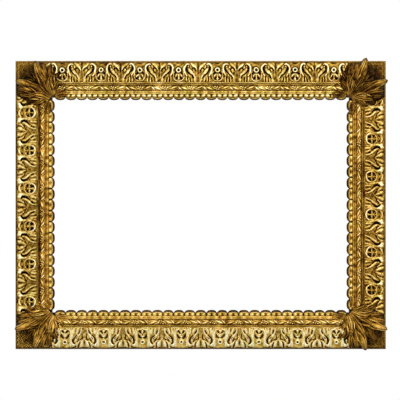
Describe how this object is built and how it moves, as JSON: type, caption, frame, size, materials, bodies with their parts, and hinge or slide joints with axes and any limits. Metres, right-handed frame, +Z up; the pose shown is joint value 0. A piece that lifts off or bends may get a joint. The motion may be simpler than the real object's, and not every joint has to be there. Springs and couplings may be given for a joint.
{
  "type": "carved gilded picture frame",
  "caption": "Landscape giltwood picture frame with a ring and palmette frieze, torus, scalloped sight edge and acanthus corner leaves, on a half-lapped pine back frame.",
  "frame": {"origin": "middle of the back plane, where the frame lies against a wall", "axes": "+X to the viewer's right, +Z up, -Y the way the carved front faces"},
  "size_m": [0.9608, 0.0662, 0.7508],
  "materials": {
    "gilded_wood": "gold leaf over bole, worn and toned brown in the hollows",
    "pine": "aged, unfinished",
    "peg_wood": "aged, unfinished",
    "zinc_steel": "zinc plated, dulled",
    "brass": "aged brass"
  },
  "bodies": {
    "frame": {"frieze_top": "gilded_wood", "frieze_bottom": "gilded_wood", "frieze_left": "gilded_wood", "frieze_right": "gilded_wood", "torus_top": "gilded_wood", "torus_bottom": "gilded_wood", "torus_left": "gilded_wood", "torus_right": "gilded_wood", "sight_top": "gilded_wood", "sight_bottom": "gilded_wood", "sight_left": "gilded_wood", "sight_right": "gilded_wood", "leaf_top_left": "gilded_wood", "leaf_top_right": "gilded_wood", "leaf_bottom_left": "gilded_wood", "leaf_bottom_right": "gilded_wood", "back_rail_top": "pine", "back_rail_bottom": "pine", "back_stile_left": "pine", "back_stile_right": "pine", "corner_pegs": "peg_wood", "hanger_straps": "zinc_steel", "hanger_screws": "zinc_steel", "button_screws": "brass"},
    "hanger_ring_left": {"hanger_ring_left": "zinc_steel"},
    "hanger_ring_right": {"hanger_ring_right": "zinc_steel"},
    "turn_button_1": {"turn_button_1": "brass"},
    "turn_button_2": {"turn_button_2": "brass"},
    "turn_button_3": {"turn_button_3": "brass"},
    "turn_button_4": {"turn_button_4": "brass"},
    "turn_button_5": {"turn_button_5": "brass"},
    "turn_button_6": {"turn_button_6": "brass"}
  },
  "joints": [
    {"name": "hanger_left_swing", "type": "hinge", "parent": "frame", "child": "hanger_ring_left", "pos_m": [-0.4245, 0.0031, 0.08844], "axis": [1, 0, 0], "range_deg": [0, 180]},
    {"name": "hanger_right_swing", "type": "hinge", "parent": "frame", "child": "hanger_ring_right", "pos_m": [0.4245, 0.0031, 0.08844], "axis": [1, 0, 0], "range_deg": [0, 180]},
    {"name": "turn_button_1_turn", "type": "hinge", "parent": "frame", "child": "turn_button_1", "pos_m": [-0.20916, 0, 0.2905], "axis": [0, 1, 0], "continuous": true},
    {"name": "turn_button_2_turn", "type": "hinge", "parent": "frame", "child": "turn_button_2", "pos_m": [0.20916, 0, 0.2905], "axis": [0, 1, 0], "continuous": true},
    {"name": "turn_button_3_turn", "type": "hinge", "parent": "frame", "child": "turn_button_3", "pos_m": [0.3955, 0, 0], "axis": [0, 1, 0], "continuous": true},
    {"name": "turn_button_4_turn", "type": "hinge", "parent": "frame", "child": "turn_button_4", "pos_m": [0.20916, 0, -0.2905], "axis": [0, 1, 0], "continuous": true},
    {"name": "turn_button_5_turn", "type": "hinge", "parent": "frame", "child": "turn_button_5", "pos_m": [-0.20916, 0, -0.2905], "axis": [0, 1, 0], "continuous": true},
    {"name": "turn_button_6_turn", "type": "hinge", "parent": "frame", "child": "turn_button_6", "pos_m": [-0.3955, 0, 0], "axis": [0, 1, 0], "continuous": true}
  ]
}
